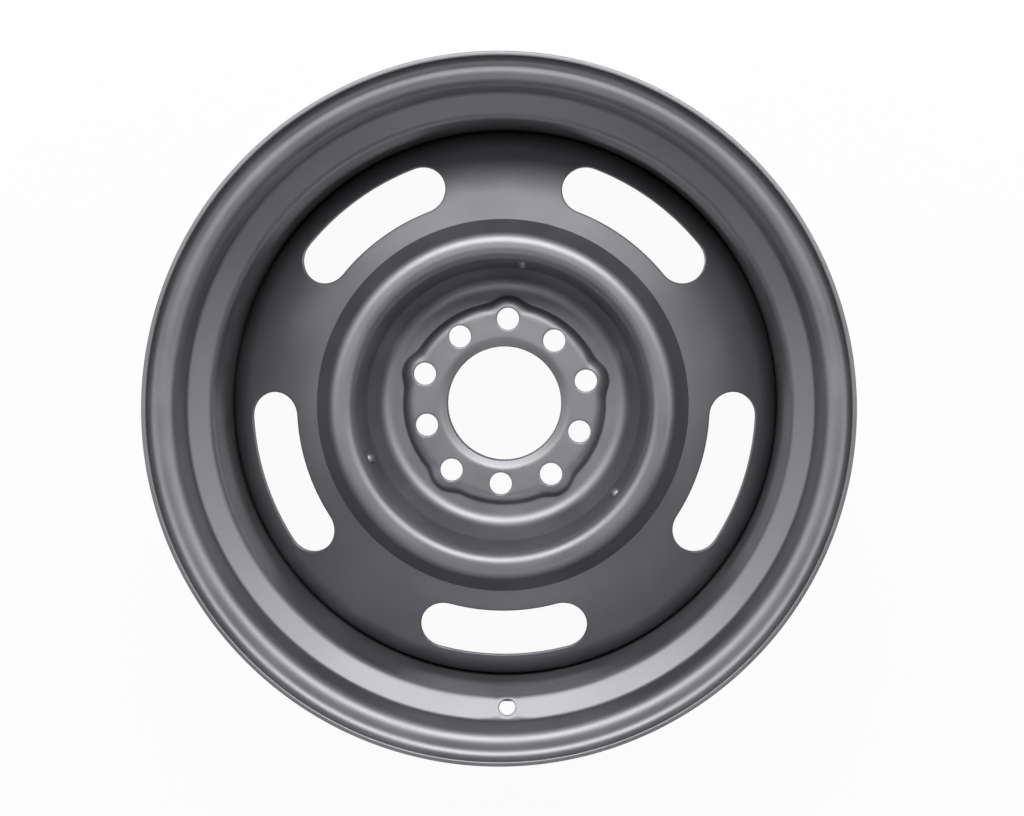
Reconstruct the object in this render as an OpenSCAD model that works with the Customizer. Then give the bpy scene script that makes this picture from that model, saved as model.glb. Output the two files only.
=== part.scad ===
// Steel road wheel: a rolled drop-centre rim with a stamped centre disc welded into it.
// The axis of the wheel is Z, the street side faces up, and z = 0 is the hub mounting plane.
// All sizes are in millimetres.

/* [Rim] */
// Diameter of the bead seats where they meet the flanges
bead_seat_d = 436.6; // [425:0.1:445]
// Width between the tyre faces of the two flanges
rim_w = 203.2; // [190:0.1:216]
// Thickness of the rolled rim sheet
rim_t = 3.2; // [2.6:0.1:3.8]
// Height of each flange above its bead seat
flange_h = 17.3; // [16:0.1:19]
// Reach of each flange lip past the flange's tyre face
lip_w = 12.7; // [11.5:0.1:14]
// Width of each bead seat, from the flange to the safety hump
seat_w = 21.5; // [20:0.1:23]
// Height of the safety hump above the end of the bead seat
hump_h = 0.9; // [0.6:0.1:1.5]
// Width of the safety hump
hump_w = 8; // [6:0.1:9]
// Depth of the drop-centre well below the bead seats, down to the side that takes the disc
well_depth = 21.3; // [18:0.1:26]
// Slope of the two ledges that lead down into the well, from a radial plane
ledge_slope = 33; // [25:1:40]

/* [Centre disc] */
// Thickness of the stamped disc
disc_t = 5; // [4:0.1:6]
// Diameter of the hub bore
bore_d = 81; // [71:0.1:86]
// Radial run of the dish around the bore
dish_run = 5.5; // [4:0.1:7]
// Depth of the dish around the bore, below the bolt pad
dish_drop = 2.8; // [2:0.1:4]
// Rise of the bolt pad above the valley around it
pad_rise = 8; // [6:0.1:9]
// Diameter of the flat top of the bolt pad
pad_d = 135; // [131:0.1:139]
// Radial run of the sloping wall around the bolt pad
pad_run = 4.9; // [4:0.1:6]
// Diameter of the ridge of the raised crown
crown_d = 219.5; // [210:0.1:228]
// Height of the crown above the mounting plane
crown_z = 61; // [55:0.5:68]
// Width of the crown between its two shoulders
crown_w = 14.7; // [12:0.1:18]
// Depth of the crease outside the crown, below its ridge
crease_drop = 19.6; // [16:0.1:24]
// Radial run of the crown's outer wall, down to the crease
crease_run = 12.3; // [10:0.1:15]
// Height of the bend in the cap pocket's wall
bend_z = 25; // [18:0.1:30]
// Radial run of the pocket's wall above the bend
upper_run = 6.1; // [4:0.1:9]
// Radial run of the pocket's wall below the bend
lower_run = 9.9; // [8:0.1:12]
// Slope of the slotted face, below the horizontal
face_slope = 32; // [28:0.5:36]
// Axial length of the flange that seats in the rim
seat_len = 32; // [28:0.5:38]

/* [Bolt holes] */
// Number of bolts in each of the two patterns
bolt_count = 5; // [4:1:6]
// Bolt circle of the pattern on the lobes
large_pcd = 120.65; // [118:0.05:123]
// Bolt circle of the pattern between the lobes
small_pcd = 114.3; // [112:0.05:117]
// Diameter of the bolt holes
bolt_d = 15.9; // [14:0.1:17]
// Diameter of the coined nut seat at the face of each bolt hole
nut_seat_d = 18.4; // [17.4:0.1:20]
// Radius of each lobe of the bolt pad at its foot
lobe_r = 16.6; // [15.5:0.1:18]
// Turn of both bolt patterns from the slots
bolt_turn = -2.5; // [-5:0.1:5]

/* [Slots] */
// Number of hand slots
slot_count = 5; // [4:1:6]
// Distance of the slots from the outside of the seating flange
slot_inset = 17.6; // [15:0.1:24]
// Width of each slot
slot_w = 34.4; // [26:0.1:36]
// Angle between the centres of a slot's two round ends
slot_span = 29.8; // [20:0.1:36]

/* [Valve hole] */
// Diameter of the valve hole
valve_d = 11.3; // [8.3:0.1:11.5]
// Diameter of the flat coined around the valve hole
valve_pad_d = 17; // [15:0.1:18]
// Tilt of the valve hole from the wheel's axis
valve_tilt = 20; // [16:1:26]
// Turn of the valve hole from the lowest slot
valve_turn = 1.1; // [-5:0.1:5]

/* [Cap bumps] */
// Number of bumps that hold a centre cap
bump_count = 3; // [3:1:5]
// Radius of the ball that forms each bump
bump_r = 3; // [2.4:0.1:3.4]
// Height of each bump above the pocket's wall
bump_h = 2; // [1.4:0.1:2.4]
// Height of the bumps above the mounting plane
bump_z = 40; // [34:0.5:50]
// Place of the first bump around the wheel
bump_turn = 82; // [70:1:95]

/* [Welds] */
// Number of weld stitches that hold the disc in the rim
weld_count = 8; // [4:1:12]
// Angle that each weld stitch covers
weld_span = 22; // [15:1:28]
// Leg of each weld stitch
weld_leg = 4.6; // [4:0.1:5]

/* [Hidden] */
$fn = 144;

// Radial gap between the disc or the welds and the well that they seat in
fit_gap = 0.1;
// Rounding of sheared sheet edges, and the tightest bend that the sheets take
edge_r = 1;
min_bend = 0.6;
// Share of a side that the bends at its two ends may take up
bend_share = 0.98;
// Largest turn of one straight stretch of a rounded corner
arc_step = 11;
// Overshoot of cutters past the faces that they cut
over = 2;
// Depth of the cut that clears the sheet away from the valve flat
coin_depth = 8;
// Step that keeps the cut around the valve flat just inside its edge
coin_step = 0.1;
// Swell of a slot's round ends, so that they cross its long sides and don't just touch them
end_swell = 1.002;
// Taper of the bead seats
seat_taper = 5;

paint = [0.36, 0.365, 0.38];
bare_weld = [0.3, 0.305, 0.32];

// Bend radii of the rim, on its tyre side
lip_bend = 9.6;
heel_bend = 6.5;
hump_bend = 4;
ledge_bend = 5;
well_bend = 8;

// Bend radii of the disc, on its street side
bore_bend = 1.5;
dish_bend = 8;
pad_bend = 8;
lobe_bend = 4.8;
pad_foot_bend = 1.2;
valley_bend = 11;
pocket_bend = 6;
crown_inner_bend = 8;
crown_outer_bend = 10;
crease_bend = 1.5;
seat_bend = 34;

// Rim stations, along the tyre side of the sheet
flange_r = bead_seat_d / 2 + flange_h;
face_z = rim_w / 2;
hump_z = face_z - seat_w;
seat_end_r = bead_seat_d / 2 - seat_w * tan(seat_taper);
hump_end_z = hump_z - hump_w;
hump_end_r = seat_end_r - hump_w * tan(seat_taper);
well_r = bead_seat_d / 2 - well_depth;
ledge_drop = (hump_end_r - well_r - rim_t) * tan(ledge_slope);
well_front_z = hump_end_z - ledge_drop;

// Disc stations, along the street side of the sheet
pad_z = disc_t + pad_rise;
crown_in_r = crown_d / 2 - crown_w / 2;
crown_out_r = crown_d / 2 + crown_w / 2;
bend_r = crown_in_r - upper_run;
crease_r = crown_out_r + crease_run;
crease_z = crown_z - crease_drop;
seat_r = well_r - fit_gap;
seat_z = crease_z - (seat_r - crease_r) * tan(face_slope);
seat_end_z = seat_z - seat_len;
slot_mid_r = seat_r - slot_inset - slot_w / 2;

// The well runs on behind the disc far enough to take the welds
well_rear_z = seat_end_z - weld_leg - well_bend;
rear_ledge_z = well_rear_z - ledge_drop;

// Plane geometry for bent sheets: a corner is [radius, height, bend]
function spot(p) = [p[0], p[1]];
function unit(v) = v / norm(v);
function left_of(d) = [-d[1], d[0]];
function turned(v, a) = [v[0] * cos(a) - v[1] * sin(a), v[0] * sin(a) + v[1] * cos(a)];
function turn_from(u, v) = atan2(u[0] * v[1] - u[1] * v[0], u * v);

// A path moved to its left by d, with each bend kept concentric
function shifted(path, d) = [
    for (i = [0 : len(path) - 1])
        let (
            p = spot(path[i]),
            first = i == 0,
            last = i == len(path) - 1,
            u = first ? unit(spot(path[1]) - p) : unit(p - spot(path[i - 1])),
            v = last ? u : unit(spot(path[i + 1]) - p),
            q = p + d * (left_of(u) + left_of(v)) / (1 + u * v),
            bend = path[i][2] - sign(turn_from(u, v)) * d
        )
        [q[0], q[1], first || last ? path[i][2] : max(bend, min_bend)]
];

// The closed outline of a sheet of thickness t that lies to the right of a path
function sheet(path, t) =
    let (back = shifted(path, -t))
    concat(path, [for (i = [len(back) - 1 : -1 : 0]) back[i]]);

// The part of a side that one corner's bend may take, in proportion to what both its ends ask
function share(side, mine, other) = bend_share * side * mine / (mine + other);

// The turn at corner i of a closed outline
function turn_at(outline, i) =
    let (
        n = len(outline),
        p = spot(outline[i]),
        before = spot(outline[(i + n - 1) % n]),
        after = spot(outline[(i + 1) % n])
    )
    turn_from(unit(p - before), unit(after - p));

// The points of one corner that turns by an angle, with a length cut off each of its sides
function corner_points(before, p, turn, cut) =
    let (
        u = unit(p - before),
        start = p - cut * u,
        centre = start + sign(turn) * cut / tan(abs(turn) / 2) * left_of(u),
        steps = ceil(abs(turn) / arc_step)
    )
    [for (k = [0 : steps]) centre + turned(start - centre, turn * k / steps)];

// A closed outline with each corner rounded by its bend, as far as its sides have room
function rounded(outline) =
    let (
        n = len(outline),
        turns = [for (i = [0 : n - 1]) turn_at(outline, i)],
        asks = [for (i = [0 : n - 1]) outline[i][2] * tan(abs(turns[i]) / 2)],
        sides = [for (i = [0 : n - 1]) norm(spot(outline[(i + 1) % n]) - spot(outline[i]))]
    )
    [
        for (i = [0 : n - 1])
            let (
                before = (i + n - 1) % n,
                after = (i + 1) % n,
                cut = min(
                    asks[i],
                    share(sides[before], asks[i], asks[before]),
                    share(sides[i], asks[i], asks[after])
                )
            )
            each corner_points(spot(outline[before]), spot(outline[i]), turns[i], cut)
    ];

// One end of the rim, from its lip to the top of its ledge
function rim_end() = [
    [flange_r, face_z + lip_w, edge_r],
    [flange_r, face_z, lip_bend],
    [bead_seat_d / 2, face_z, heel_bend],
    [seat_end_r, hump_z, hump_bend],
    [seat_end_r + hump_h, hump_z - hump_w / 2, hump_bend],
    [hump_end_r, hump_end_z, ledge_bend]
];

// The rim's tyre side, from the front lip to the rear lip
rim_path = concat(
    rim_end(),
    [
        [well_r + rim_t, well_front_z, well_bend],
        [well_r + rim_t, well_rear_z, well_bend],
        [hump_end_r, rear_ledge_z, ledge_bend]
    ],
    [for (i = [len(rim_end()) - 2 : -1 : 0]) [rim_end()[i][0], -rim_end()[i][1], rim_end()[i][2]]]
);

// The disc's street side, from the foot of the bore collar to the end of the seating flange
disc_path = [
    [bore_d / 2, 0, edge_r],
    [bore_d / 2, pad_z - dish_drop, bore_bend],
    [bore_d / 2 + dish_run, pad_z, dish_bend],
    [pad_d / 2, pad_z, pad_bend],
    [pad_d / 2 + pad_run, disc_t, pad_foot_bend],
    [bend_r - lower_run, disc_t, valley_bend],
    [bend_r, bend_z, pocket_bend],
    [crown_in_r, crown_z, crown_inner_bend],
    [crown_out_r, crown_z, crown_outer_bend],
    [crease_r, crease_z, crease_bend],
    [seat_r, seat_z, seat_bend],
    [seat_r, seat_end_z, edge_r]
];

// The middle of the front ledge on the side that shows, where the valve hole is
ledge_side = shifted([for (i = [4 : 7]) rim_path[i]], -rim_t);
ledge_mid = (spot(ledge_side[1]) + spot(ledge_side[2])) / 2;

module around(count, start = 0) {
    for (i = [0 : count - 1])
        rotate([0, 0, start + i * 360 / count])
            children();
}

module bent_sheet(path, t) {
    rotate_extrude()
        polygon(rounded(sheet(path, t)));
}

// Places its children at the valve, with their Z axis along the hole and out of the rim
module at_valve() {
    rotate([0, 0, valve_turn - 90])
        translate([ledge_mid[0], 0, ledge_mid[1]])
            rotate([0, -valve_tilt, 0])
                children();
}

module valve_clearing() {
    clear_d = valve_pad_d - 2 * coin_step;
    at_valve() {
        cylinder(d = clear_d, h = coin_depth);
        translate([0, 0, -rim_t - coin_depth])
            cylinder(d = clear_d, h = coin_depth);
    }
}

module valve_flat() {
    at_valve()
        translate([0, 0, -rim_t])
            cylinder(d = valve_pad_d, h = rim_t);
}

module valve_hole() {
    at_valve()
        translate([0, 0, -rim_t - over])
            cylinder(d = valve_d, h = rim_t + 2 * over);
}

// Rolled one-piece rim with a valve hole in its front ledge
module rim() {
    color(paint)
        difference() {
            union() {
                difference() {
                    bent_sheet(rim_path, rim_t);
                    valve_clearing();
                }
                valve_flat();
            }
            valve_hole();
        }
}

// The lobe around one bolt hole of the large pattern, with the same wall as the pad
module lobe() {
    slope = pad_run / pad_rise;
    foot = [lobe_r + slope * over / 2, disc_t - over / 2];
    shoulder = [lobe_r - pad_run, pad_z];
    turn = atan2(pad_rise, pad_run);
    translate([large_pcd / 2, 0])
        rotate_extrude()
            polygon(concat(
                [[0, foot[1]], foot],
                corner_points(foot, shoulder, turn, lobe_bend * tan(turn / 2)),
                [[0, pad_z]]
            ));
}

// The hollow behind a lobe
module lobe_pocket() {
    slope = pad_run / pad_rise;
    wall_rise = disc_t * norm([pad_run, pad_rise]) / pad_run - disc_t;
    foot_r = lobe_r - slope * wall_rise;
    translate([large_pcd / 2, 0, -over])
        cylinder(r1 = foot_r + slope * over, r2 = foot_r - pad_run, h = pad_rise + over);
}

// A bolt hole with its coined nut seat
module bolt_hole(pcd) {
    seat_depth = (nut_seat_d - bolt_d) / 2;
    translate([pcd / 2, 0, -over])
        cylinder(d = bolt_d, h = pad_z + 2 * over);
    translate([pcd / 2, 0, pad_z - seat_depth])
        cylinder(d1 = bolt_d, d2 = nut_seat_d + 2 * over, h = seat_depth + over);
}

// A curved slot with round ends, punched straight through along the wheel's axis
module slot_outline() {
    reach = 2 * slot_mid_r;
    intersection() {
        difference() {
            circle(r = slot_mid_r + slot_w / 2);
            circle(r = slot_mid_r - slot_w / 2);
        }
        polygon([
            [0, 0],
            reach * [cos(slot_span / 2), -sin(slot_span / 2)],
            reach * [cos(slot_span / 2), sin(slot_span / 2)]
        ]);
    }
    for (side = [-1, 1])
        rotate([0, 0, side * slot_span / 2])
            translate([slot_mid_r, 0])
                circle(d = slot_w * end_swell);
}

module slot() {
    translate([0, 0, seat_end_z])
        linear_extrude(crown_z - seat_end_z)
            slot_outline();
}

// A ball sunk into the pocket's wall, so that only its crown stands out
module cap_bump() {
    wall_r = bend_r + upper_run * (bump_z - bend_z) / (crown_z - bend_z);
    translate([wall_r + bump_r - bump_h, 0, bump_z])
        sphere(r = bump_r);
}

// Stamped centre: bore collar, lobed bolt pad, cap pocket, crown, slotted face, seating flange
module disc() {
    slot_start = -90;
    lobe_start = slot_start + 180 / slot_count + bolt_turn;
    color(paint)
        difference() {
            union() {
                bent_sheet(disc_path, disc_t);
                around(bolt_count, lobe_start)
                    lobe();
                around(bump_count, bump_turn)
                    cap_bump();
            }
            around(bolt_count, lobe_start)
                lobe_pocket();
            around(bolt_count, lobe_start)
                bolt_hole(large_pcd);
            around(bolt_count, lobe_start + 180 / bolt_count)
                bolt_hole(small_pcd);
            around(slot_count, slot_start)
                slot();
        }
}

// One stitch of fillet weld, in the corner between the disc's flange and the well
module weld_bead() {
    throat = 0.62 * weld_leg;
    rotate_extrude(angle = weld_span)
        polygon([
            [seat_r, seat_end_z],
            [seat_r, seat_end_z - weld_leg],
            [seat_r - throat, seat_end_z - throat],
            [seat_r - weld_leg, seat_end_z]
        ]);
}

module weld_beads() {
    color(bare_weld)
        around(weld_count)
            weld_bead();
}

rim();
disc();
weld_beads();
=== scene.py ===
"""Looks of the steel wheel: smooth meshes of its rim, disc and welds, satin paint, studio light.

Sizes are in millimetres and repeat those of the part's source, apart from the front bend of the
well and the bumps, which follow the photograph more closely. The wheel's axis is Z, its street side
faces up, and angles are in whole degrees where meshes have to meet.
"""

import math

import bmesh
import bpy
import numpy as np
from mathutils import Matrix, Vector


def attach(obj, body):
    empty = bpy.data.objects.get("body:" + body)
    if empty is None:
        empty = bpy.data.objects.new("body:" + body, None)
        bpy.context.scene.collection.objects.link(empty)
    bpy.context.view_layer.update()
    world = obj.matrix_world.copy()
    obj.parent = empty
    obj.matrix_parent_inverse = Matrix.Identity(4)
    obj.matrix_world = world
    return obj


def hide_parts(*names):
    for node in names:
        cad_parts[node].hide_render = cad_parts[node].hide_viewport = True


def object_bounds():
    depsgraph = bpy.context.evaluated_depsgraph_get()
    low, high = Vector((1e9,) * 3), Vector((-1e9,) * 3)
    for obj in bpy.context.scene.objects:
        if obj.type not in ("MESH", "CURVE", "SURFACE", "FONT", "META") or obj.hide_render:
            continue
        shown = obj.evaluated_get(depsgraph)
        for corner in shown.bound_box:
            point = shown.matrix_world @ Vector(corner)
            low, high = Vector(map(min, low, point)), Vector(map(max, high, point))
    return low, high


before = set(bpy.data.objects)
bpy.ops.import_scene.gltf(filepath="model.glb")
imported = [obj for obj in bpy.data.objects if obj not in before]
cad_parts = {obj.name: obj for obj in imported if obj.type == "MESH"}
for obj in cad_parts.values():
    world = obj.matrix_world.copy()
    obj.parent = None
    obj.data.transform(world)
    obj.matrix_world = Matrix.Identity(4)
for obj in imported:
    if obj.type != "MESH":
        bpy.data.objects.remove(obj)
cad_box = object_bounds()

MM = 0.001

# Rim sheet
BEAD_SEAT_R = 436.6 / 2
FACE_Z = 203.2 / 2
RIM_T = 3.2
FLANGE_H = 17.3
LIP_W = 12.7
SEAT_W = 21.5
SEAT_TAPER = math.radians(5)
HUMP_H = 0.9
HUMP_W = 8
WELL_R = 394 / 2
LEDGE_SLOPE = math.radians(33)
LIP_BEND, HEEL_BEND, HUMP_BEND, LEDGE_BEND, WELL_BEND = 9.6, 6.5, 4, 5, 8
FRONT_WELL_BEND = 4

# Disc sheet
DISC_T = 5
BORE_R = 81 / 2
DISH_RUN = 5.5
DISH_DROP = 2.8
PAD_RISE = 8
PAD_R = 135 / 2
PAD_RUN = 4.9
CROWN_R = 219.5 / 2
CROWN_Z = 61
CROWN_W = 14.7
CREASE_DROP = 19.6
CREASE_RUN = 12.3
BEND_Z = 25
UPPER_RUN = 6.1
LOWER_RUN = 9.9
FACE_SLOPE = math.radians(32)
SEAT_LEN = 32
FIT_GAP = 0.1
BORE_BEND, DISH_BEND, PAD_BEND, PAD_FOOT_BEND, VALLEY_BEND, POCKET_BEND = 1.5, 8, 8, 1.2, 11, 6
CROWN_INNER_BEND, CROWN_OUTER_BEND, CREASE_BEND, SEAT_BEND = 8, 10, 1.5, 34

# Bolt holes and the lobes of the bolt pad
BOLT_COUNT = 5
LARGE_R = 120.65 / 2
SMALL_R = 114.3 / 2
BOLT_R = 15.9 / 2
LOBE_R = 16.6
LOBE_FILLET = 3
FIRST_LOBE = -56.5

# Hand slots
SLOT_COUNT = 5
SLOT_MID_R = 162.1
SLOT_HALF_W = 34.4 / 2
SLOT_HALF_SPAN = math.radians(29.8 / 2)
FIRST_SLOT = -90

# Valve hole
VALVE_R = 11.3 / 2
VALVE_TILT = math.radians(20)
VALVE_ANGLE = math.radians(-88.9)
VALVE_EDGE_R = 0.6

# Bumps that hold a centre cap
BUMP_COUNT = 3
BUMP_H = 3.6
BUMP_R = 4.2
BUMP_Z = 44
FIRST_BUMP = 82

# Weld stitches
WELD_COUNT = 8
WELD_SPAN = 22
WELD_LEG = 4.6

# Bends and edges of the sheets
EDGE_R = 1
MIN_BEND = 0.6
BEND_SHARE = 0.98
FINE_STEP = math.radians(7.5)
COARSE_STEP = math.radians(10)
TIGHT_STEP = math.radians(15)
TIGHT_BEND = 2.5
LONGEST_STEP = 3

# Radii at which the disc's plain rings end and the patches around its holes begin
COLLAR_R = {"front": 46.8, "rear": 47.4}
PAD_EDGE_LEVEL = -4.3
PAD_FOOT_LEVEL = 1.15
VALLEY_R = 78.6
SLOTS_INNER_R = 140
SLOTS_OUTER_R = 184

# Columns around the axis, samples along a line, and how near points have to be to be joined
THETA = np.radians(np.arange(360))
LINE_SAMPLES = 600
JOIN_DISTANCE = 0.002


def unit(v):
    return v / np.linalg.norm(v)


def left_of(d):
    return np.array([-d[1], d[0]])


def turn_from(u, v):
    return math.atan2(u[0] * v[1] - u[1] * v[0], u @ v)


def smooth_min(a, b, width):
    """The smaller of two values, with a rounded change from one to the other."""
    share = np.clip(0.5 + 0.5 * (b - a) / width, 0, 1)
    return b + (a - b) * share - width * share * (1 - share)


def shifted(path, distance):
    """A path of (radius, height, bend) corners moved to its left, with bends kept concentric."""
    moved = path.copy()
    sides = [unit(v) for v in np.diff(path[:, :2], axis=0)]
    last = len(path) - 1
    for i in range(len(path)):
        u, v = sides[max(i - 1, 0)], sides[min(i, last - 1)]
        moved[i, :2] += distance * (left_of(u) + left_of(v)) / (1 + u @ v)
        if 0 < i < last:
            moved[i, 2] = max(path[i, 2] - np.sign(turn_from(u, v)) * distance, MIN_BEND)
    return moved


def bend_points(before, corner, turn, cut, step):
    """The points of a rounded corner that turns by an angle and takes a length off each side."""
    u = unit(corner - before)
    start = corner - cut * u
    radius = cut / math.tan(abs(turn) / 2)
    centre = start + math.copysign(radius, turn) * left_of(u)
    step = TIGHT_STEP if radius < TIGHT_BEND else step
    count = math.ceil(max(abs(turn) / step, radius * abs(turn) / LONGEST_STEP))
    angles = np.linspace(0, turn, count + 1)
    x, y = start - centre
    cos, sin = np.cos(angles), np.sin(angles)
    return centre + np.column_stack([x * cos - y * sin, x * sin + y * cos])


def rounded(outline, steps):
    """The points of a closed outline, one array for each corner, as far as its sides have room."""
    spots = outline[:, :2]
    before, after = np.roll(spots, 1, axis=0), np.roll(spots, -1, axis=0)
    turns = [turn_from(unit(p - a), unit(b - p)) for a, p, b in zip(before, spots, after)]
    asks = [bend * math.tan(abs(turn) / 2) for bend, turn in zip(outline[:, 2], turns)]
    sides = np.linalg.norm(after - spots, axis=1)
    bends = []
    for i in range(len(outline)):
        rooms = [
            BEND_SHARE * side * asks[i] / (asks[i] + other)
            for side, other in ((sides[i - 1], asks[i - 1]), (sides[i], asks[i + 1 - len(asks)]))
        ]
        cut = min(asks[i], *rooms)
        bends.append(bend_points(before[i], spots[i], turns[i], cut, steps[i]))
    return bends


def sheet(path, thickness, rear_step):
    """The two sides of a bent sheet, as (radius, height) points from the path's start to end."""
    count = len(path)
    outline = np.vstack([path, shifted(path, -thickness)[::-1]])
    bends = rounded(outline, [FINE_STEP] * count + [rear_step] * count)
    return np.vstack(bends[:count]), np.vstack(bends[count:])[::-1]


def rim_path():
    """The rim's tyre side, from the front lip to the rear lip."""
    flange_r = BEAD_SEAT_R + FLANGE_H
    hump_z = FACE_Z - SEAT_W
    seat_end_r = BEAD_SEAT_R - SEAT_W * math.tan(SEAT_TAPER)
    hump_end_z = hump_z - HUMP_W
    hump_end_r = seat_end_r - HUMP_W * math.tan(SEAT_TAPER)
    ledge_drop = (hump_end_r - WELL_R - RIM_T) * math.tan(LEDGE_SLOPE)
    well_rear_z = disc_path()[-1, 1] - WELD_LEG - WELL_BEND
    front = np.array([
        [flange_r, FACE_Z + LIP_W, EDGE_R],
        [flange_r, FACE_Z, LIP_BEND],
        [BEAD_SEAT_R, FACE_Z, HEEL_BEND],
        [seat_end_r, hump_z, HUMP_BEND],
        [seat_end_r + HUMP_H, hump_z - HUMP_W / 2, HUMP_BEND],
        [hump_end_r, hump_end_z, LEDGE_BEND],
    ])
    well = [
        [WELL_R + RIM_T, hump_end_z - ledge_drop, FRONT_WELL_BEND],
        [WELL_R + RIM_T, well_rear_z, WELL_BEND],
        [hump_end_r, well_rear_z - ledge_drop, LEDGE_BEND],
    ]
    return np.vstack([front, well, (front * [1, -1, 1])[-2::-1]])


def disc_path():
    """The disc's street side, from the foot of the bore collar to the end of the seating flange."""
    pad_z = DISC_T + PAD_RISE
    crown_in_r, crown_out_r = CROWN_R - CROWN_W / 2, CROWN_R + CROWN_W / 2
    bend_r = crown_in_r - UPPER_RUN
    crease_r, crease_z = crown_out_r + CREASE_RUN, CROWN_Z - CREASE_DROP
    seat_r = WELL_R - FIT_GAP
    seat_z = crease_z - (seat_r - crease_r) * math.tan(FACE_SLOPE)
    return np.array([
        [BORE_R, 0, EDGE_R],
        [BORE_R, pad_z - DISH_DROP, BORE_BEND],
        [BORE_R + DISH_RUN, pad_z, DISH_BEND],
        [PAD_R, pad_z, PAD_BEND],
        [PAD_R + PAD_RUN, DISC_T, PAD_FOOT_BEND],
        [bend_r - LOWER_RUN, DISC_T, VALLEY_BEND],
        [bend_r, BEND_Z, POCKET_BEND],
        [crown_in_r, CROWN_Z, CROWN_INNER_BEND],
        [crown_out_r, CROWN_Z, CROWN_OUTER_BEND],
        [crease_r, crease_z, CREASE_BEND],
        [seat_r, seat_z, SEAT_BEND],
        [seat_r, seat_z - SEAT_LEN, EDGE_R],
    ])


def placed(radius, angle, height):
    """Points in space from polar ones."""
    x, y, z = np.broadcast_arrays(radius * np.cos(angle), radius * np.sin(angle), height)
    return np.stack([x, y, z], axis=-1)


def spun(side):
    """Rows of points around the axis, one row for each (radius, height) point."""
    return placed(side[:, :1], THETA, side[:, 1:])


class Skin:
    """Faces gathered patch by patch, and joined where the patches share points."""

    def __init__(self):
        self.points = []
        self.faces = []
        self.count = 0

    def add(self, points):
        first = self.count
        self.points.append(points.reshape(-1, 3))
        self.count += points.size // 3
        return first + np.arange(points.size // 3).reshape(points.shape[:-1])

    def grid(self, rows, skip=None):
        """Quads between rows of points that each close on themselves, without those to skip."""
        index = self.add(rows)
        ahead = np.roll(index, -1, axis=1)
        quads = np.stack([index[:-1], ahead[:-1], ahead[1:], index[1:]], axis=-1)
        quads = quads.reshape(-1, 4) if skip is None else quads[~skip]
        self.faces.extend(quads.tolist())

    def fan(self, ring, tip):
        """Triangles that close a ring of points at a tip."""
        index = self.add(ring)
        top = int(self.add(tip[None])[0])
        self.faces.extend([int(a), int(b), top] for a, b in zip(index, np.roll(index, -1)))

    def piece(self, name, node, material):
        """Makes the finished object, which stands for a node of the frame."""
        mesh = bpy.data.meshes.new(name)
        mesh.from_pydata((np.vstack(self.points) * MM).tolist(), [], self.faces)
        shell = bmesh.new()
        shell.from_mesh(mesh)
        bmesh.ops.remove_doubles(shell, verts=shell.verts, dist=JOIN_DISTANCE * MM)
        unused = [vert for vert in shell.verts if not vert.link_faces]
        bmesh.ops.delete(shell, geom=unused, context="VERTS")
        bmesh.ops.recalc_face_normals(shell, faces=shell.faces)
        for face in shell.faces:
            face.smooth = True
        shell.to_mesh(mesh)
        shell.free()
        mesh.materials.append(material)
        made = bpy.data.objects.new(name, mesh)
        bpy.context.scene.collection.objects.link(made)
        shading = made.modifiers.new("even_shading", "WEIGHTED_NORMAL")
        shading.mode = "FACE_AREA"
        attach(made, "root")
        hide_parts(node)


def height(side, radius):
    return np.interp(radius, side[:, 0], side[:, 1])


def cut_at(side, radius):
    return np.array([[radius, height(side, radius)]])


def stretch(side, start, stop):
    """The part of a side between two radii, cut exactly there."""
    inside = side[(side[:, 0] > start) & (side[:, 0] < stop)]
    return np.vstack([cut_at(side, start), inside, cut_at(side, stop)])


def round_hole(radius, apart, centre_r, hole_r):
    """Distance outside a circle, of points at an angle apart from its centre."""
    away = radius**2 + centre_r**2 - 2 * radius * centre_r * np.cos(apart)
    return np.sqrt(np.maximum(away, 0)) - hole_r


def pad_level(radius, angle):
    """Distance outside the foot of the bolt pad, which is a circle with lobes."""
    level = radius - PAD_R - PAD_RUN
    for k in range(BOLT_COUNT):
        apart = angle - math.radians(FIRST_LOBE + k * 360 / BOLT_COUNT)
        level = smooth_min(level, round_hole(radius, apart, LARGE_R, LOBE_R), LOBE_FILLET)
    return level


def pad_ring(level, angle):
    """The radius at which the pad has a level, at each angle."""
    reach_in, reach_out, samples = 5, 16, 400
    radius = np.linspace(PAD_R - reach_in, PAD_R + reach_out, samples)
    return np.array([np.interp(level, pad_level(radius, a), radius) for a in angle])


def slot_hole(radius, apart):
    """Distance outside a curved slot with round ends."""
    beyond = np.maximum(np.abs(apart) - SLOT_HALF_SPAN, 0)
    ends = round_hole(radius, beyond, SLOT_MID_R, SLOT_HALF_W)
    return np.where(beyond > 0, ends, np.abs(radius - SLOT_MID_R) - SLOT_HALF_W)


def sector_loop(angles, inner, outer, shares):
    """A closed loop round a sector, of (distance, angle) points, with shares along two sides."""
    up = inner[-1] + shares * (outer[-1] - inner[-1])
    down = (inner[0] + shares * (outer[0] - inner[0]))[::-1]
    return np.vstack([
        np.column_stack([inner, angles]),
        np.column_stack([up, np.full_like(up, angles[-1])]),
        np.column_stack([outer, angles])[::-1],
        np.column_stack([down, np.full_like(down, angles[0])]),
    ])


def rings_at(centre, loop, clearance, levels):
    """Rings where the lines from a centre to a loop reach each clearance."""
    share = np.linspace(0, 1, LINE_SAMPLES)
    lines = centre + share[:, None, None] * (loop - centre)
    found = clearance(lines[..., 0], lines[..., 1])
    reach = np.array([np.interp(levels, found[:, k], share) for k in range(len(loop))])
    return centre + reach.T[:, :, None] * (loop - centre)


def spread(ring, loop, count):
    """Rings from just outside one ring up to a loop."""
    share = np.arange(1, count + 1) / count
    return ring + share[:, None, None] * (loop - ring)


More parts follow.
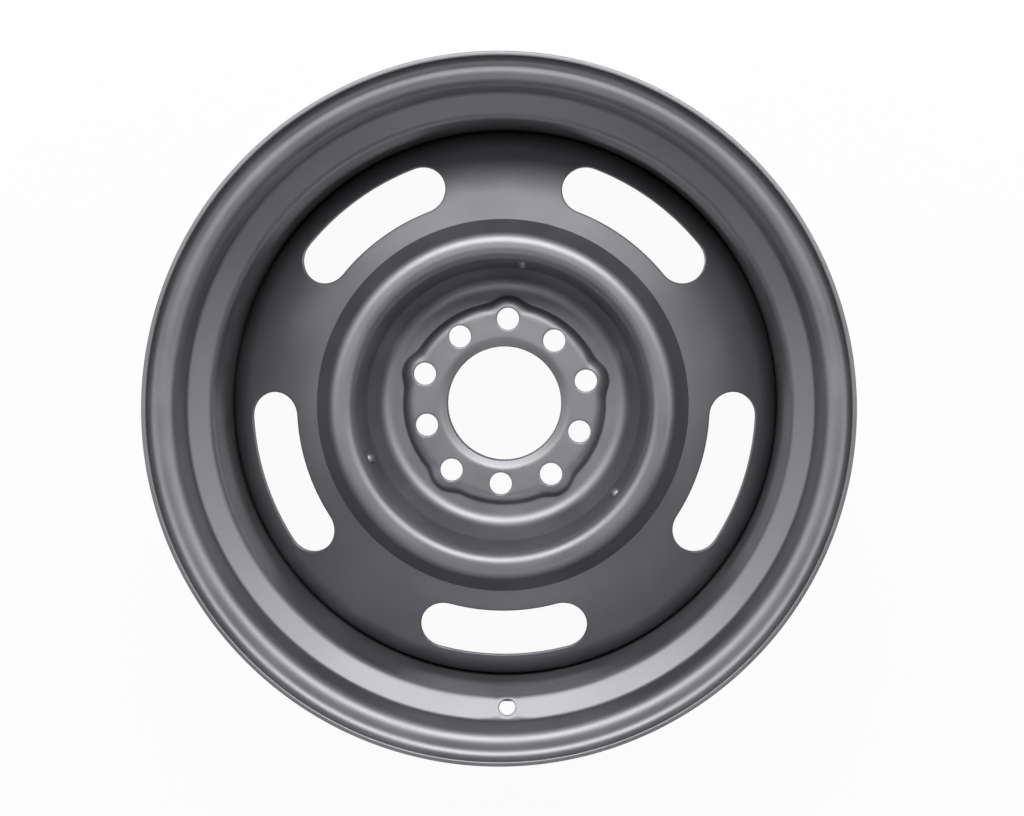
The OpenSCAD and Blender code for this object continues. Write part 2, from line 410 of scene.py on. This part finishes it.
def edge_profile(radius, count):
    """A rounded edge: its distances from the hole's wall, and its drops below the sheet's face."""
    angle = np.linspace(0, math.pi / 2, count)
    return radius * (1 - np.cos(angle)), radius * (1 - np.sin(angle))


def punch(skin, centre, loops, clearance, heights):
    """A hole through the sheet, with rounded edges and rings out to a loop, finer on the front."""
    signs, edge_counts, ring_counts = (1, -1), (6, 3), (9, 4)
    rims = []
    for loop, surface, sign, edge_count, rings_out in zip(
        loops, heights, signs, edge_counts, ring_counts
    ):
        levels, drops = edge_profile(EDGE_R, edge_count)
        edge = rings_at(centre, loops[0], clearance, levels)
        rings = np.concatenate([edge, spread(edge[-1], loop, rings_out)])
        drops = np.append(drops, np.zeros(rings_out))
        radius, angle = rings[..., 0], rings[..., 1]
        rows = placed(radius, angle, surface(radius, angle) - sign * drops[:, None])
        skin.grid(rows)
        rims.append(rows[0])
    skin.grid(np.stack(rims))


def bolt_holes(skin, sides):
    """The two patterns of bolt holes, each hole in a sector of its own on the lobed pad."""
    shares = np.array([0.14, 0.28, 0.42, 0.55, 0.67, 0.78, 0.87, 0.94])
    sector = 360 // (2 * BOLT_COUNT)
    surfaces = [
        lambda r, a, side=side: height(side, PAD_R + PAD_RUN + pad_level(r, a))
        for side in sides.values()
    ]
    for k in range(2 * BOLT_COUNT):
        middle = FIRST_LOBE + k * sector
        centre = np.array([SMALL_R if k % 2 else LARGE_R, math.radians(middle)])
        first = math.ceil(middle) - sector // 2
        angles = np.radians(np.arange(first, first + sector + 1))
        outer = pad_ring(PAD_EDGE_LEVEL, angles)
        loops = [
            sector_loop(angles, np.full_like(angles, inner_r), outer, shares)
            for inner_r in COLLAR_R.values()
        ]
        punch(
            skin, centre, loops,
            lambda r, a, c=centre: round_hole(r, a - c[1], c[0], BOLT_R), surfaces,
        )


def hand_slots(skin, sides):
    """The curved slots, each in a sector of its own on the sloping face."""
    shares = np.arange(1, 9) / 9
    sector = 360 // SLOT_COUNT
    surfaces = [lambda r, a, side=side: height(side, r) for side in sides.values()]
    for k in range(SLOT_COUNT):
        middle = FIRST_SLOT + k * sector
        centre = np.array([SLOT_MID_R, math.radians(middle)])
        angles = np.radians(np.arange(middle - sector // 2, middle + sector // 2 + 1))
        inner, outer = np.full_like(angles, SLOTS_INNER_R), np.full_like(angles, SLOTS_OUTER_R)
        loop = sector_loop(angles, inner, outer, shares)
        punch(
            skin, centre, [loop, loop],
            lambda r, a, c=centre: slot_hole(r, a - c[1]), surfaces,
        )


def pocket_wall_r(z):
    """Radius of the pocket's wall above its bend."""
    crown_in_r = CROWN_R - CROWN_W / 2
    return crown_in_r - UPPER_RUN * (CROWN_Z - z) / (CROWN_Z - BEND_Z)


def crown_rows(skin, side):
    """The rings from the valley over the crown to the slotted face, with the bumps in the wall."""
    half_z, half_angle, count = 7, 4, 8
    levels = BUMP_Z + np.linspace(-half_z, half_z, count + 1)
    window = np.column_stack([pocket_wall_r(levels), levels])
    plain = stretch(side, VALLEY_R, SLOTS_INNER_R)
    rows = np.vstack([plain, window])
    rows = rows[np.argsort(rows[:, 0], kind="stable")]
    low, high = np.searchsorted(rows[:, 0], window[[0, -1], 0])
    skip = np.zeros((len(rows) - 1, len(THETA)), bool)
    shares = np.arange(1, count) / count
    for k in range(BUMP_COUNT):
        middle = FIRST_BUMP + k * 360 // BUMP_COUNT
        columns = np.arange(middle - half_angle, middle + half_angle + 1)
        skip[low:high, columns[:-1] % len(THETA)] = True
        angles = np.radians(columns)
        inner, outer = np.full_like(angles, levels[0]), np.full_like(angles, levels[-1])
        centre = np.array([BUMP_Z, math.radians(middle)])
        bump(skin, centre, sector_loop(angles, inner, outer, shares))
    skin.grid(spun(rows), skip)


def bump(skin, centre, loop):
    """A rounded bump on the pocket's wall, in a window of (height, angle) points."""
    def from_middle(z, a):
        return np.hypot(pocket_wall_r(z) * (a - centre[1]), z - centre[0])

    sunk = BUMP_R - BUMP_H
    foot_r = math.sqrt(BUMP_R**2 - sunk**2)
    levels = foot_r * np.array([0.12, 0.25, 0.38, 0.5, 0.62, 0.74, 0.85, 0.92, 0.97, 1.0, 1.12])
    near = rings_at(centre, loop, from_middle, levels)
    rings = np.concatenate([near, spread(near[-1], loop, 3)])
    z, angle = rings[..., 0], rings[..., 1]
    ball = np.sqrt(np.maximum(BUMP_R**2 - from_middle(z, angle) ** 2, 0))
    rows = placed(pocket_wall_r(z) - np.maximum(ball - sunk, 0), angle, z)
    skin.grid(rows)
    skin.fan(rows[0], placed(pocket_wall_r(centre[0]) - BUMP_H, centre[1], centre[0]))


def disc(material):
    """Stamped centre: bore collar, lobed bolt pad, cap pocket, crown, slotted face, flange."""
    skin = Skin()
    front, rear = sheet(disc_path(), DISC_T, COARSE_STEP)
    sides = {"front": front, "rear": rear}
    foot_r = PAD_R + PAD_RUN
    for name, side in sides.items():
        start_r = COLLAR_R[name]
        collar = side[:np.argmax(side[:, 0] > start_r)]
        skin.grid(spun(np.vstack([collar, cut_at(side, start_r)])))
        wall = stretch(side, foot_r + PAD_EDGE_LEVEL, foot_r + PAD_FOOT_LEVEL)
        radii = [pad_ring(r - foot_r, THETA) for r in wall[:, 0]] + [np.full_like(THETA, VALLEY_R)]
        levels = np.append(wall[:, 1], height(side, VALLEY_R))
        skin.grid(placed(np.array(radii), THETA, levels[:, None]))
        flange = side[np.argmax(side[:, 0] > SLOTS_OUTER_R):]
        skin.grid(spun(np.vstack([cut_at(side, SLOTS_OUTER_R), flange])))
    crown_rows(skin, front)
    skin.grid(spun(stretch(rear, VALLEY_R, SLOTS_INNER_R)))
    skin.grid(spun(np.vstack([front[0], rear[0]])))
    skin.grid(spun(np.vstack([front[-1], rear[-1]])))
    bolt_holes(skin, sides)
    hand_slots(skin, sides)
    skin.piece("wheel_disc", "disc", material)


def run_along(side):
    """Distance along a side to each of its points."""
    return np.append(0, np.cumsum(np.linalg.norm(np.diff(side, axis=0), axis=1)))


def point_along(side, distance):
    run = run_along(side)
    return np.interp(distance, run, side[:, 0]), np.interp(distance, run, side[:, 1])


class Valve:
    """The valve hole's own frame: its origin on the ledge and its axis out of the rim."""

    def __init__(self, origin):
        out = np.array([math.cos(VALVE_ANGLE), math.sin(VALVE_ANGLE), 0])
        up = np.array([0, 0, 1])
        cos, sin = math.cos(VALVE_TILT), math.sin(VALVE_TILT)
        self.origin = placed(origin[0], VALVE_ANGLE, origin[1])
        self.axes = np.array([cos * out + sin * up, np.cross(up, out), cos * up - sin * out])

    def local(self, points):
        return (points - self.origin) @ self.axes.T

    def world(self, local):
        return local @ self.axes + self.origin


def valve_window(skin, side, valve, face_z, sign):
    """One side of the valve hole: its rounded edge and the rings from there to the plain ledge."""
    half_run, half_angle, count, samples, least_step = 18, 4.5, 36, 6000, 0.2

    def local(run, angle):
        radius, z = point_along(side, run)
        return valve.local(placed(radius, angle, z))

    all_runs = run_along(side)
    fine = np.linspace(0, all_runs[-1], samples)
    at_valve = local(fine, VALVE_ANGLE)
    middle = fine[np.argmin(np.hypot(at_valve[:, 0], at_valve[:, 2] - face_z))]
    inside = np.linspace(middle - half_run, middle + half_run, count + 1)
    outside = (all_runs < inside[0] - least_step) | (all_runs > inside[-1] + least_step)
    runs = np.sort(np.concatenate([all_runs[outside], inside]))
    plain = np.column_stack(point_along(side, runs))
    degrees = math.degrees(VALVE_ANGLE)
    columns = np.arange(math.floor(degrees - half_angle), math.ceil(degrees + half_angle) + 1)
    low = np.searchsorted(runs, inside[0])
    skip = np.zeros((len(plain) - 1, len(THETA)), bool)
    skip[low:low + count, columns[:-1] % len(THETA)] = True
    skin.grid(spun(plain), skip)

    angles = np.radians(columns)
    inner, outer = np.full_like(angles, inside[0]), np.full_like(angles, inside[-1])
    loop = sector_loop(angles, inner, outer, np.arange(1, count) / count)
    edge, drops = edge_profile(VALVE_EDGE_R, 4)
    centre = np.array([middle, VALVE_ANGLE])
    near = rings_at(
        centre, loop,
        lambda d, a: np.hypot(*np.moveaxis(local(d, a)[..., :2], -1, 0)) - VALVE_R,
        np.append(edge, [1.0, 1.6, 2.4, 3.4]),
    )
    rings = np.concatenate([near, spread(near[-1], loop, 5)])
    spots = local(rings[..., 0], rings[..., 1])
    spots[:len(drops), :, 2] -= sign * drops[:, None]
    rows = valve.world(spots)
    skin.grid(rows)
    return rows[0]


def rim(material):
    """Rolled one-piece rim with a valve hole in its front ledge."""
    skin = Skin()
    path = rim_path()
    tyre, inner = sheet(path, RIM_T, FINE_STEP)
    ledge = shifted(path[4:8], -RIM_T)[1:3, :2]
    valve = Valve(ledge.mean(axis=0))
    shown_edge = valve_window(skin, inner, valve, 0, 1)
    hidden_edge = valve_window(skin, tyre, valve, -RIM_T, -1)
    skin.grid(np.stack([shown_edge, hidden_edge]))
    skin.grid(spun(np.vstack([tyre[0], inner[0]])))
    skin.grid(spun(np.vstack([tyre[-1], inner[-1]])))
    skin.piece("wheel_rim", "rim", material)


def weld_section(angle, share):
    """The outline of a weld at one angle, with ripples along it and closed ends."""
    seat_r, end_z = disc_path()[-1, :2]
    ripple_pitch, ripple_bow, ripple_depth = 1.1, 0.35, 0.07
    end_span, least_end, hollow = 1.4, 0.04, 0.12
    end_share = min(share, 1 - share) * WELD_SPAN / end_span
    fullness = math.sqrt(max(1 - max(1 - end_share, 0) ** 2, least_end))
    lean = np.linspace(0, math.pi / 2, 12)
    middle = np.sin(2 * lean)
    phase = 2 * math.pi * (angle / ripple_pitch + ripple_bow * middle)
    reach = WELD_LEG * fullness * (1 - hollow * middle)
    reach *= 1 - ripple_depth * middle * (0.5 + 0.5 * np.cos(phase))
    radius = np.append(seat_r, seat_r - reach * np.sin(lean))
    z = np.append(end_z, end_z - reach * np.cos(lean))
    return placed(radius, math.radians(angle), z)


def welds(material):
    """Stitches of fillet weld in the corner between the disc's flange and the well."""
    skin = Skin()
    for k in range(WELD_COUNT):
        start = k * 360 / WELD_COUNT
        shares = np.linspace(0, 1, 121)
        rows = np.stack([weld_section(start + share * WELD_SPAN, share) for share in shares])
        skin.grid(rows)
        for row in (rows[0], rows[-1]):
            skin.fan(row, row.mean(axis=0))
    skin.piece("wheel_welds", "weld_beads", material)


class Nodes:
    """Shader nodes made and linked in short lines."""

    def __init__(self, tree):
        self.tree = tree
        tree.nodes.clear()

    def new(self, kind, links=None, **values):
        node = self.tree.nodes.new(kind)
        for name, value in values.items():
            setattr(node, name, value)
        for name, value in (links or {}).items():
            if isinstance(value, bpy.types.NodeSocket):
                self.tree.links.new(value, node.inputs[name])
            else:
                node.inputs[name].default_value = value
        return node

    def noise(self, place, scale, detail):
        made = self.new(
            "ShaderNodeTexNoise", {"Vector": place, "Scale": scale, "Detail": detail}
        )
        return made.outputs["Fac"]

    def ranged(self, value, low, high):
        """The usual range of a noise, spread over another."""
        made = self.new(
            "ShaderNodeMapRange",
            {"Value": value, "From Min": 0.3, "From Max": 0.7, "To Min": low, "To Max": high},
        )
        return made.outputs["Result"]


def paint(name, colour, roughness, grain):
    """Satin metallic paint with fine grain, faint clouds of tone and uneven gloss."""
    dark_cloud, light_cloud, flake = 0.94, 1.06, 1.5
    flake_share, gloss_spread, peel_depth = 0.12, 0.03, 0.0002
    material = bpy.data.materials.new(name)
    material.use_nodes = True
    nodes = Nodes(material.node_tree)
    place = nodes.new("ShaderNodeTexCoord").outputs["Object"]
    clouds = nodes.noise(place, scale=22, detail=4)
    flakes = nodes.noise(place, scale=1400, detail=2)
    peel = nodes.noise(place, scale=420, detail=3)
    tone = nodes.new("ShaderNodeMix", {"Factor": nodes.ranged(clouds, 0, 1)}, data_type="RGBA")
    tone.inputs["A"].default_value = (*[dark_cloud * c for c in colour], 1)
    tone.inputs["B"].default_value = (*[light_cloud * c for c in colour], 1)
    speckle = nodes.new(
        "ShaderNodeMix", {"Factor": nodes.ranged(flakes, 0, flake_share)}, data_type="RGBA"
    )
    nodes.tree.links.new(tone.outputs["Result"], speckle.inputs["A"])
    speckle.inputs["B"].default_value = (*[flake * c for c in colour], 1)
    bump_node = nodes.new(
        "ShaderNodeBump", {"Height": peel, "Strength": grain, "Distance": peel_depth}
    )
    shader = nodes.new("ShaderNodeBsdfPrincipled", {
        "Base Color": speckle.outputs["Result"],
        "Metallic": 1.0,
        "Specular Tint": (0.1, 0.1, 0.1, 1),
        "Roughness": nodes.ranged(clouds, roughness - gloss_spread, roughness + gloss_spread),
        "Normal": bump_node.outputs["Normal"],
    })
    nodes.new("ShaderNodeOutputMaterial", {"Surface": shader.outputs["BSDF"]})
    return material


def white_where_seen(nodes, shader, strength):
    """A shader that turns white where the camera sees it, directly, mirrored or through glass."""
    path = nodes.new("ShaderNodeLightPath").outputs
    seen = path["Is Camera Ray"]
    for name in ("Is Glossy Ray", "Is Transmission Ray"):
        either = nodes.new("ShaderNodeMath", operation="MAXIMUM")
        nodes.tree.links.new(seen, either.inputs[0])
        nodes.tree.links.new(path[name], either.inputs[1])
        seen = either.outputs[0]
    share = nodes.new("ShaderNodeMath", operation="MULTIPLY")
    nodes.tree.links.new(seen, share.inputs[0])
    share.inputs[1].default_value = strength
    white = nodes.new("ShaderNodeEmission", {"Color": (1, 1, 1, 1), "Strength": 1.0})
    mixed = nodes.new("ShaderNodeMixShader", {"Fac": share.outputs[0]})
    nodes.tree.links.new(shader, mixed.inputs[1])
    nodes.tree.links.new(white.outputs["Emission"], mixed.inputs[2])
    return mixed.outputs["Shader"]


def floor():
    """A plain white floor under the rear flange, which keeps a faint shadow."""
    half, z, grey, white_share = 12.0, cad_box[0].z, 0.82, 0.95
    mesh = bpy.data.meshes.new("floor")
    mesh.from_pydata(
        [(-half, -half, z), (half, -half, z), (half, half, z), (-half, half, z)], [], [(0, 1, 2, 3)]
    )
    material = bpy.data.materials.new("floor_white")
    material.use_nodes = True
    nodes = Nodes(material.node_tree)
    plain = nodes.new("ShaderNodeBsdfDiffuse", {"Color": (grey, grey, grey, 1)})
    surface = white_where_seen(nodes, plain.outputs["BSDF"], white_share)
    nodes.new("ShaderNodeOutputMaterial", {"Surface": surface})
    mesh.materials.append(material)
    made = bpy.data.objects.new("floor", mesh)
    bpy.context.scene.collection.objects.link(made)


def softbox(name, azimuth, tilt, size, radiance):
    """A rectangular lamp above the wheel, tilted from straight up, with its face's brightness."""
    distance = 2.2
    lamp = bpy.data.lights.new(name, "AREA")
    lamp.shape = "RECTANGLE"
    lamp.size, lamp.size_y = size
    lamp.energy = radiance * math.pi * size[0] * size[1]
    made = bpy.data.objects.new(name, lamp)
    bpy.context.scene.collection.objects.link(made)
    around = Matrix.Rotation(math.radians(azimuth), 4, "Z")
    down = Matrix.Rotation(math.radians(tilt), 4, "X")
    made.matrix_world = around @ down @ Matrix.Translation((0, 0, distance))


def studio():
    """Soft light: a broad box beyond the wheel's top, weaker ones elsewhere, a dim room."""
    softbox("key_box", azimuth=180, tilt=37, size=(2.4, 0.6), radiance=11.5)
    softbox("fill_box", azimuth=0, tilt=42, size=(1.6, 0.8), radiance=1.6)
    softbox("east_box", azimuth=90, tilt=46, size=(1.0, 0.8), radiance=2.4)
    softbox("west_box", azimuth=-90, tilt=46, size=(1.0, 0.8), radiance=2.4)
    world = bpy.data.worlds.new("room")
    bpy.context.scene.world = world
    world.use_nodes = True
    nodes = Nodes(world.node_tree)
    grey = nodes.new("ShaderNodeBackground", {"Color": (0.03, 0.03, 0.03, 1), "Strength": 1.0})
    white = nodes.new("ShaderNodeBackground", {"Color": (1, 1, 1, 1), "Strength": 1.0})
    path = nodes.new("ShaderNodeLightPath").outputs
    mixed = nodes.new("ShaderNodeMixShader", {"Fac": path["Is Camera Ray"]})
    nodes.tree.links.new(grey.outputs["Background"], mixed.inputs[1])
    nodes.tree.links.new(white.outputs["Background"], mixed.inputs[2])
    nodes.new("ShaderNodeOutputWorld", {"Surface": mixed.outputs["Shader"]})


def camera():
    """The photograph's view, straight down on the street side from a little off the axis."""
    focal_px, image_width_px, image_height_px, sensor_width = 1881, 1024, 816, 36
    place = Vector((45.4, 46, 1351.3))
    flange_z = FACE_Z + LIP_W
    flange_spot_px = (498.95, 408.75)
    data = bpy.data.cameras.new("camera")
    data.sensor_width = sensor_width
    data.lens = focal_px / image_width_px * sensor_width
    scale = focal_px / (place.z - flange_z)
    data.shift_x = (image_width_px / 2 - place.x * scale - flange_spot_px[0]) / image_width_px
    data.shift_y = (flange_spot_px[1] - image_height_px / 2 - place.y * scale) / image_width_px
    made = bpy.data.objects.new("camera", data)
    bpy.context.scene.collection.objects.link(made)
    made.location = place * MM
    bpy.context.scene.camera = made


bpy.context.scene.view_settings.view_transform = "Standard"
camera()
studio()
floor()
wheel_paint = paint("wheel_paint", (0.33, 0.33, 0.347), roughness=0.53, grain=0.12)
weld_paint = paint("weld_paint", (0.31, 0.31, 0.326), roughness=0.58, grain=0.3)
rim(wheel_paint)
disc(wheel_paint)
welds(weld_paint)
